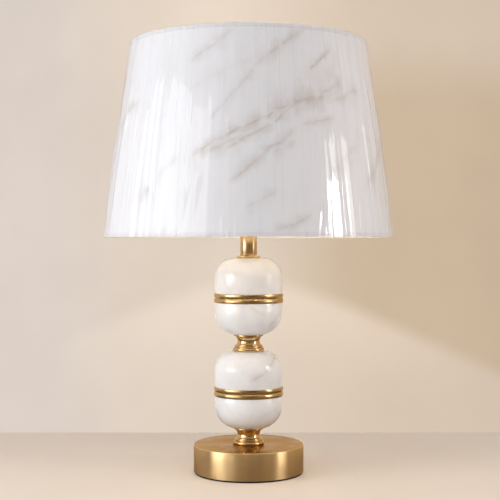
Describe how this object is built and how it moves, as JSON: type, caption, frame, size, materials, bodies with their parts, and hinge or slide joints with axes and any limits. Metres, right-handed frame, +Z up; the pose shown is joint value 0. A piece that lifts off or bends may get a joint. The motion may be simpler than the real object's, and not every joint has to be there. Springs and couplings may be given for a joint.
{
  "type": "table lamp",
  "caption": "Column table lamp: brass drum base, brass-banded white marble beads between turned necks, brass stem, tapered white shade printed with stone veins under clear film.",
  "frame": {"origin": "centre of the foot pad's underside, on the surface that the lamp stands on", "axes": "+Z up along the stem, -Y is the front, +Y faces the cord inlet at the back"},
  "size_m": [0.378, 0.3778, 0.5601],
  "materials": {
    "brushed_brass": "satin brass, turned on the top and brushed on the side",
    "polished_brass": "polished and lacquered turned brass",
    "marble": "polished white marble with faint grey and brown veins",
    "cast_iron": "cast iron with black primer",
    "zinc_steel": "bright zinc-plated steel",
    "plate_steel": "pressed steel plate, black paint",
    "foot_foam": "dark foam rubber",
    "black_plastic": "black moulded plastic",
    "gasket_rubber": "soft translucent rubber",
    "white_ceramic": "unglazed white steatite",
    "contact_brass": "bright stamped brass",
    "white_wire": "steel wire and plate, white powder coat",
    "shade_sheet": "matt white shade material printed with faint diagonal stone veins",
    "shade_lining": "translucent white lining sheet",
    "hem_tape": "white fabric tape",
    "clear_film": "clear glossy wrapping film with creases",
    "bulb_metal": "nickel-plated screw cap",
    "bulb_black": "black glass-filled insulator",
    "bulb_white": "white moulded housing",
    "bulb_opal": "opal diffuser, warm white when lit",
    "led_board": "white-faced aluminium board"
  },
  "bodies": {
    "stand": {"base_shell": "brushed_brass", "base_weight": "cast_iron", "bottom_plate": "plate_steel", "foot_pad": "foot_foam", "cord_gland": "black_plastic", "threaded_rod": "zinc_steel", "base_washer": "zinc_steel", "base_lock_washer": "zinc_steel", "base_nut": "zinc_steel", "stem_lock_nut": "zinc_steel", "lower_neck": "polished_brass", "middle_neck": "polished_brass", "lower_bead_bottom": "marble", "lower_bead_top": "marble", "upper_bead_bottom": "marble", "upper_bead_top": "marble", "lower_bead_band": "polished_brass", "upper_bead_band": "polished_brass", "bead_gaskets": "gasket_rubber", "stem_washer": "polished_brass", "stem_tube": "brushed_brass", "stem_cap": "polished_brass", "lampholder_cap": "black_plastic", "lampholder_grub_screw": "zinc_steel", "lampholder_core": "white_ceramic", "terminal_screws": "contact_brass", "switch_leaves": "contact_brass", "lampholder_shell": "black_plastic", "lampholder_sleeve": "contact_brass", "centre_contact": "contact_brass"},
    "switch_bar": {"switch_bar": "black_plastic"},
    "shade_ring": {"shade_ring": "black_plastic"},
    "shade": {"shade_cover": "shade_sheet", "shade_liner": "shade_lining", "bottom_wire_ring": "white_wire", "top_wire_ring": "white_wire", "bottom_hem": "hem_tape", "top_hem": "hem_tape", "seam_strip": "hem_tape", "clear_film": "clear_film", "fitter_ring": "white_wire", "fitter_arms": "white_wire"},
    "bulb": {"bulb_pip": "contact_brass", "bulb_insulator": "bulb_black", "bulb_cap": "bulb_metal", "bulb_housing": "bulb_white", "bulb_led_board": "led_board", "bulb_dome": "bulb_opal"}
  },
  "joints": [
    {"name": "switch_push", "type": "slide", "parent": "stand", "child": "switch_bar", "axis": [-1, 0, 0], "range_m": [0, 0.007]},
    {"name": "shade_lift", "type": "slide", "parent": "stand", "child": "shade_ring", "axis": [0, 0, 1], "range_m": [0, 0.18]},
    {"name": "shade_turn", "type": "hinge", "parent": "shade_ring", "child": "shade", "pos_m": [0, 0, 0.3568], "axis": [0, 0, 1], "continuous": true},
    {"name": "bulb_lift", "type": "slide", "parent": "stand", "child": "bulb", "axis": [0, 0, 1], "range_m": [0, 0.225]}
  ]
}
